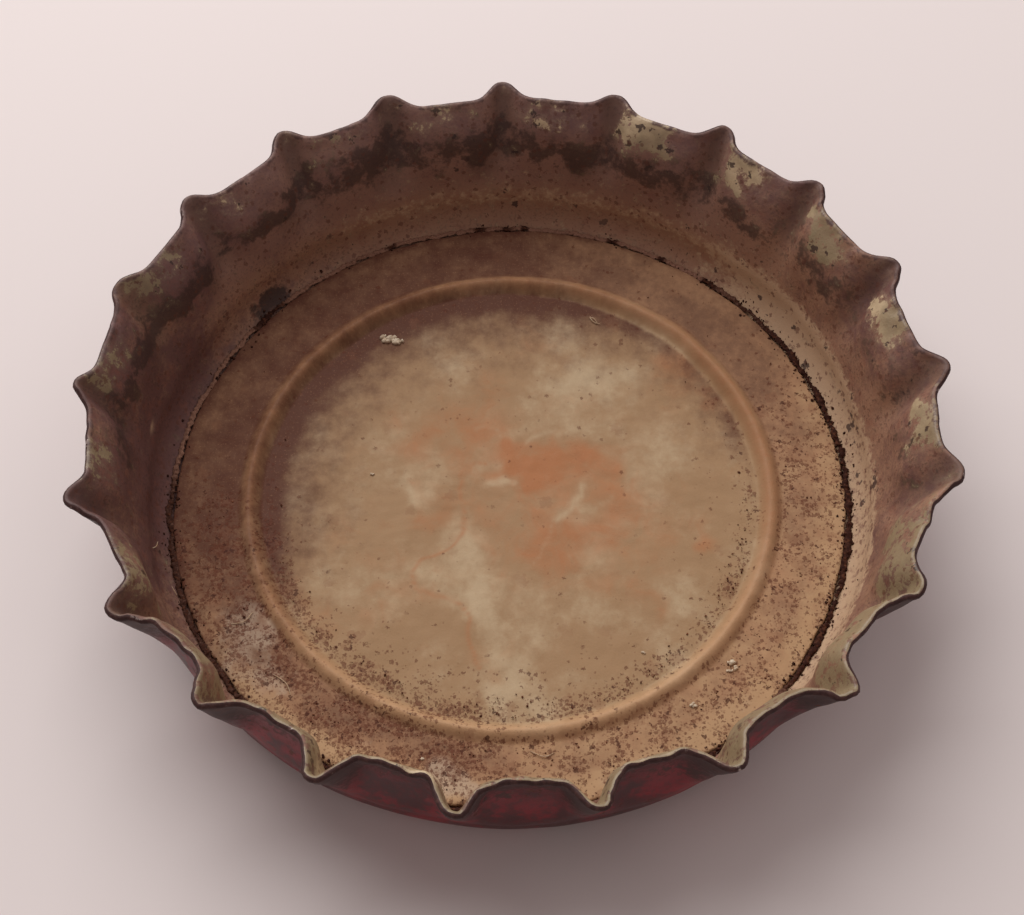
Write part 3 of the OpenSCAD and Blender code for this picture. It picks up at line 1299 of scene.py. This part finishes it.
@dataclass(frozen=True)
class LintFinish:
    """Pale crumbs and fibres: off-white with a warm tinge."""

    pale: Colour = srgb(208, 192, 168)
    warm: Colour = srgb(176, 142, 106)

    def make(self, name: str, warmth: float) -> bpy.types.Material:
        """Makes the material.

        Args:
            name: name of the material.
            warmth: share of the warm colour.

        Returns:
            The material.
        """
        make = Finish(name)
        fine = make.noise(95, 0.2, 3)
        colour = make.mix(((fine - 0.5) * 1.2 + warmth).ramp(0.0, 1.0), self.pale, self.warm)
        return make.surface(colour, 0.6 + (fine - 0.5) * 0.2, fine, 0.02)


@dataclass
class GapDirt:
    """The crust that fills the groove between the liner's edge and the bend, and the grains round it."""

    shell: CrownShell
    liner: Liner
    gap: float = 0.12
    sink: float = 0.02
    thickness: float = 0.1
    columns: int = 1800
    sides: int = 12
    grains: int = 1500
    inner_share: float = 0.55
    inner_spread: float = 0.2
    outer_spread: float = 0.16
    seed: int = 23

    CRUST = (Arc(0.34, 42, 134, 6), Peak(0.5, 92, 26), Arc(0.38, -136, -84, 6), Arc(0.12, -84, -30, 6),
             *(Peak(0.42, centre, spread) for centre, spread in
               ((-21, 1.6), (-4, 1.8), (1, 1.6), (4.5, 1.2), (21, 1.6), (31, 1.2), (41, 1.8), (-48, 4))),
             *(Peak(0.5, centre, 3.5) for centre in (145, 163, 187, 209)), Arc(0.2, 134, 224, 4))

    @property
    def radius(self) -> float:
        """Radius of the middle of the gap."""
        return self.liner.radius + self.gap

    def weight(self, bearing: Array) -> Array:
        """How much crust there is, by bearing: thick at the right and the front left, dashes at the back."""
        return np.clip(total(self.CRUST, bearing), 0, 1)

    def crust(self) -> bpy.types.Object:
        """Builds the crust: a ring whose thickness follows the weight and a rough noise.

        Returns:
            The crust.
        """
        bearing = (np.arange(self.columns) * FULL_TURN / self.columns)[None, :]
        swing = (np.arange(self.sides) * 2 * math.pi / self.sides)[:, None]
        level = self.liner.band_top - self.sink
        line = on_circle(np.full_like(bearing, self.radius), bearing, np.full_like(bearing, level))
        rough = 1 + 0.4 * Waves(24, 1.3).at(line) + 0.4 * Waves(25, 0.28).at(line)
        weight = self.weight(bearing)
        thick = self.thickness * (1 - weight + weight * np.clip(rough, 0.15, 2.0))
        sunk = 0.03 * (1 - smooth(weight, 0.05, 0.5))
        radius = self.radius + thick * np.cos(swing) + 0.03 * Waves(26, 0.8).at(line)
        height = level - sunk + 0.5 * thick * np.sin(swing)
        points = on_circle(radius, bearing, height)
        points += 0.02 * np.stack([Waves(seed, 0.16).at(points) for seed in (27, 28, 29)], -1)
        fields = {"weight": np.broadcast_to(weight, radius.shape)}
        return Skin("gap_crust", points, fields, Closing.RING).build()

    def grit(self) -> bpy.types.Object:
        """Scatters grains along the gap, as many at each bearing as the weight says.

        Returns:
            The grains, as one piece.
        """
        draw = np.random.default_rng(self.seed)
        bearing = draw.uniform(-HALF_TURN, HALF_TURN, self.grains * 4)
        bearing = bearing[draw.uniform(size=bearing.size) < self.weight(bearing)][:self.grains]
        inner = draw.uniform(size=bearing.size) < self.inner_share
        off = np.where(inner, -np.abs(draw.normal(0, self.inner_spread, bearing.size)) + 0.05,
                       np.abs(draw.normal(0, self.outer_spread, bearing.size)))
        radius = self.radius + off
        drop = (self.shell.corner_r - self.shell.sheet) ** 2 - (radius - self.shell.panel_r) ** 2
        bend_z = self.shell.corner_r - np.sqrt(np.clip(drop, 0.01, None))
        on_liner = radius < self.liner.radius + 0.04
        height = np.where(on_liner, self.liner.band_top, bend_z)
        size = 0.022 + 0.045 * draw.uniform(size=bearing.size) ** 2.5
        return scatter("gap_grit", on_circle(radius, bearing, height), size, draw)

    def dress(self) -> None:
        """Builds the crust and the grains and seats them."""
        seat(self.crust(), "liner_plastic", [DirtFinish().make("crusted_dirt", fades=True)])
        seat(self.grit(), "liner_plastic", [DirtFinish().make("dark_grit")])


def scatter(name: str, places: Array, size: Array, draw: np.random.Generator) -> bpy.types.Object:
    """Puts a small ragged grain of twenty faces at each place.

    Each grain is an icosahedron whose corners are pushed in and out, squashed and turned at random.

    Args:
        name: name of the piece.
        places: centres, in millimetres.
        size: radii, in millimetres.
        draw: random draws.

    Returns:
        The piece that holds every grain.
    """
    golden = (1 + math.sqrt(5)) / 2
    corners = np.array([(0, a, b * golden) for a in (-1, 1) for b in (-1, 1)], float)
    corners = np.concatenate([np.roll(corners, turn, axis=1) for turn in range(3)]) / math.hypot(1, golden)
    away = np.linalg.norm(corners[:, None] - corners[None], axis=-1)
    near = (away > 0) & (away < 1.1)
    found = [(a, b, c) for a in range(12) for b in range(a + 1, 12) for c in range(b + 1, 12)
             if near[a, b] and near[b, c] and near[a, c]]
    faces = np.array([(a, b, c) if np.dot(corners[a], np.cross(corners[b], corners[c])) > 0 else (a, c, b)
                      for a, b, c in found])
    count = len(places)
    shaped = corners[None] * draw.uniform(0.6, 1.35, (count, 12, 1)) * draw.uniform(0.6, 1.4, (count, 1, 3))
    axes = np.linalg.qr(draw.normal(size=(count, 3, 3)))[0]
    axes *= np.sign(np.linalg.det(axes))[:, None, None]
    vertices = (shaped @ axes) * size[:, None, None] + places[:, None]
    joined = (faces[None] + 12 * np.arange(count)[:, None, None]).reshape(-1, 3)
    return make_piece(name, vertices.reshape(-1, 3), None, joined, {})


@dataclass
class LooseDirt:
    """Grains on the liner and the bend, white crumbs, and fibres."""

    liner: Liner
    flecks: int = 900
    band_share: float = 0.68
    seed: int = 31
    fibre_r: float = 0.019

    CRUMBS = ((-4.6, 7.3, 0.2), (-4.3, 7.15, 0.16), (-4.85, 7.42, 0.12), (7.7, -7.35, 0.13),
              (7.85, -7.6, 0.1), (7.6, -7.7, 0.08), (6.2, -9.0, 0.1), (4.6, -6.8, 0.06),
              (-3.3, -10.7, 0.07), (-5.2, 1.0, 0.07))
    FIBRES = (
        ((-13.1, -2.9, 1.5), (-12.9, -3.1, 1.15), (-12.7, -3.35, 0.86), (-12.4, -3.75, 0.74),
         (-12.2, -4.1, 0.71)),
        ((-13.35, -2.45, 2.0), (-13.2, -2.6, 1.7), (-13.0, -2.4, 1.4), (-12.95, -2.1, 1.3)),
        ((3.45, 8.15, 0.6), (3.5, 7.95, 0.62), (3.65, 7.8, 0.6), (3.85, 7.75, 0.59)),
        ((3.4, 8.05, 0.6), (3.6, 8.0, 0.63), (3.75, 7.75, 0.6)),
        ((-8.6, -7.3, 0.71), (-8.1, -7.7, 0.73), (-7.9, -8.2, 0.71)),
        ((-10.2, -5.3, 0.71), (-9.7, -5.2, 0.74), (-9.4, -4.8, 0.71)),
        ((0.4, -10.5, 0.71), (0.9, -10.75, 0.75), (1.3, -10.6, 0.71)),
    )

    def fleck_places(self, draw: np.random.Generator) -> Array:
        """Draws the places of the grains on the liner: most on the band at the front, some inside the ring.

        Args:
            draw: random draws.

        Returns:
            The places.
        """
        front = draw.normal(-158, 40, self.flecks)
        right = draw.normal(112, 30, self.flecks)
        bearing = np.where(draw.uniform(size=self.flecks) < 0.66, front, right)
        on_band = draw.uniform(size=self.flecks) < self.band_share
        ring_in = self.liner.ring_r - self.liner.ring_foot
        ring_out = self.liner.ring_r + self.liner.ring_foot
        radius = np.where(on_band, draw.uniform(ring_out, self.liner.radius - 0.1, self.flecks),
                          ring_in - np.abs(draw.normal(0, 0.35, self.flecks)))
        height = np.where(on_band, self.liner.band_top, self.liner.disc_top + 0.02)
        return on_circle(radius, bearing, height)

    def crumb(self) -> bpy.types.Object:
        """Builds the white crumbs as heaps of grains.

        Returns:
            The crumbs, as one piece.
        """
        draw = np.random.default_rng(self.seed + 1)
        spots = np.array(self.CRUMBS)
        each = 12
        middle = np.repeat(spots, each, axis=0)
        radius = np.hypot(middle[:, 0], middle[:, 1])
        ground = np.where(radius > 10, self.liner.band_top, self.liner.disc_top)
        shake = draw.normal(0, (0.5, 0.28), (len(middle), 2)) * middle[:, 2:3]
        places = np.column_stack([middle[:, :2] + shake, ground + 0.12 * middle[:, 2]])
        return scatter("white_crumbs", places, middle[:, 2] * draw.uniform(0.4, 0.7, len(middle)), draw)

    def fibre(self, number: int, points: tuple[tuple[float, float, float], ...]) -> bpy.types.Object:
        """Builds a fibre: a thin tube of six sides along a smooth curve, drawn to a point at both ends.

        Args:
            number: its number.
            points: the points that it passes through.

        Returns:
            The fibre.
        """
        path = Stroke(points, 1.0, 1.0, 8).path()
        ahead = np.gradient(path, axis=0)
        ahead /= np.linalg.norm(ahead, axis=-1, keepdims=True)
        side = np.cross(ahead, (0.0, 0.0, 1.0))
        side /= np.linalg.norm(side, axis=-1, keepdims=True)
        over = np.cross(side, ahead)
        swing = (np.arange(6) * math.pi / 3)[None, :, None]
        taper = np.sin(np.linspace(0, math.pi, len(path))) ** 0.3
        taper[[0, -1]] = 0.0
        ring = np.cos(swing) * side[:, None] + np.sin(swing) * over[:, None]
        tube = path[:, None] + ring * (self.fibre_r * taper)[:, None, None]
        return Skin(f"fibre_{number}", tube, {}).build()

    def dress(self) -> None:
        """Builds the grains, crumbs and fibres and seats them."""
        draw = np.random.default_rng(self.seed)
        size = 0.014 + 0.028 * draw.uniform(size=self.flecks) ** 3
        rusty = DirtFinish(srgb(82, 46, 34), srgb(136, 84, 58)).make("rusty_grit")
        seat(scatter("liner_grit", self.fleck_places(draw), size, draw), "liner_plastic", [rusty])
        lint = LintFinish()
        seat(self.crumb(), "liner_plastic", [lint.make("pale_crumbs", 0.35)])
        thread = lint.make("pale_fibre", 0.7)
        for number, points in enumerate(self.FIBRES, 1):
            seat(self.fibre(number, points), "liner_plastic", [thread])


# ---------------------------------------------------------------------------------------------------------
# Studio


@dataclass(frozen=True)
class Lamp:
    """A round soft light that shines on the cap from a bearing and a rise."""

    name: str
    bearing: float
    rise: float
    distance: float
    size: float
    power: float

    def hang(self) -> None:
        """Makes the light and turns it to the cap."""
        data = bpy.data.lights.new(self.name, "AREA")
        data.shape, data.size, data.energy = "DISK", self.size, self.power
        light = bpy.data.objects.new(self.name, data)
        rise, bearing = math.radians(self.rise), math.radians(self.bearing)
        level = math.cos(rise)
        toward = Vector((math.sin(bearing) * level, math.cos(bearing) * level, math.sin(rise)))
        light.location = toward * self.distance
        light.rotation_mode = "QUATERNION"
        light.rotation_quaternion = toward.to_track_quat("Z", "Y")
        bpy.context.scene.collection.objects.link(light)


@dataclass
class Studio:
    """Pale floor, a large soft light at the back left, a weak one at the back right, and an even fill."""

    floor_half: float = 1.5
    floor_drop: float = 0.02
    floor_colour: Colour = srgb(232, 222, 219)
    lamps: tuple[Lamp, ...] = (Lamp("key", -24.0, 44.0, 0.22, 0.24, 0.49),
                               Lamp("side", 55.0, 50.0, 0.25, 0.2, 0.07))
    fill_colour: Colour = (1.0, 0.84, 0.82, 1.0)
    fill_power: float = 0.29

    def floor(self) -> None:
        """Lays the floor just under the cap."""
        half, low = self.floor_half, CAD_BOX[0].z - self.floor_drop * MM
        mesh = bpy.data.meshes.new("floor")
        mesh.from_pydata([(x * half, y * half, low) for x, y in ((-1, -1), (1, -1), (1, 1), (-1, 1))], [],
                         [(0, 1, 2, 3)])
        plane = bpy.data.objects.new("floor", mesh)
        bpy.context.scene.collection.objects.link(plane)
        make = Finish("pale_floor")
        mesh.materials.append(make.surface(self.floor_colour, 0.9))

    def lights(self) -> None:
        """Hangs the lamps and sets the fill."""
        for lamp in self.lamps:
            lamp.hang()
        world = bpy.data.worlds.new("fill")
        world.use_nodes = True
        sky = world.node_tree.nodes["Background"]
        sky.inputs["Color"].default_value = self.fill_colour
        sky.inputs["Strength"].default_value = self.fill_power
        bpy.context.scene.world = world
        bpy.context.scene.view_settings.view_transform = "Standard"

    def dress(self) -> None:
        """Sets up the floor and the lights."""
        self.floor()
        self.lights()


@dataclass
class ViewPoint:
    """The camera: in front of the cap and well above it, close by."""

    distance: float = 65.14
    rise: float = 57.88
    turn: float = -0.84
    roll: float = -0.87
    aim: tuple[float, float, float] = (0.12, 0.03, 3.0)
    lens: float = 62.58
    sensor: float = 36.0

    def place(self) -> None:
        """Sets up the camera: back from the aim at its rise, turned round the cap, and rolled."""
        rise = math.radians(self.rise)
        turn = Matrix.Rotation(math.radians(self.turn), 3, "Z")
        aim = turn @ Vector(self.aim) * MM
        back = turn @ Vector((0.0, -math.cos(rise), math.sin(rise)))
        data = bpy.data.cameras.new("camera")
        data.lens, data.sensor_width = self.lens, self.sensor
        data.clip_start, data.clip_end = 1 * MM, 10.0
        camera = bpy.data.objects.new("camera", data)
        across = Vector((0.0, 0.0, 1.0)).cross(back).normalized()
        axes = Matrix((across, back.cross(across), back)).transposed()
        axes = axes @ Matrix.Rotation(math.radians(self.roll), 3, "Z")
        camera.matrix_world = Matrix.Translation(aim + back * self.distance * MM) @ axes.to_4x4()
        bpy.context.scene.collection.objects.link(camera)
        bpy.context.scene.camera = camera


def main() -> None:
    """Builds the cap, its dirt and the studio, in that order."""
    logging.basicConfig(level=logging.INFO, format="%(message)s")
    shell_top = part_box("crown_shell")[1] / MM
    liner_low, liner_high = (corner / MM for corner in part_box("liner"))
    ViewPoint().place()
    shell = CrownShell(tip_r=shell_top.y, height=shell_top.z)
    liner = Liner(radius=liner_high.x, foot=liner_low.z, crest=liner_high.z)
    for part in (shell, liner, GapDirt(shell, liner), LooseDirt(liner)):
        part.dress()
    Studio().dress()


if __name__ == "__main__":
    main()
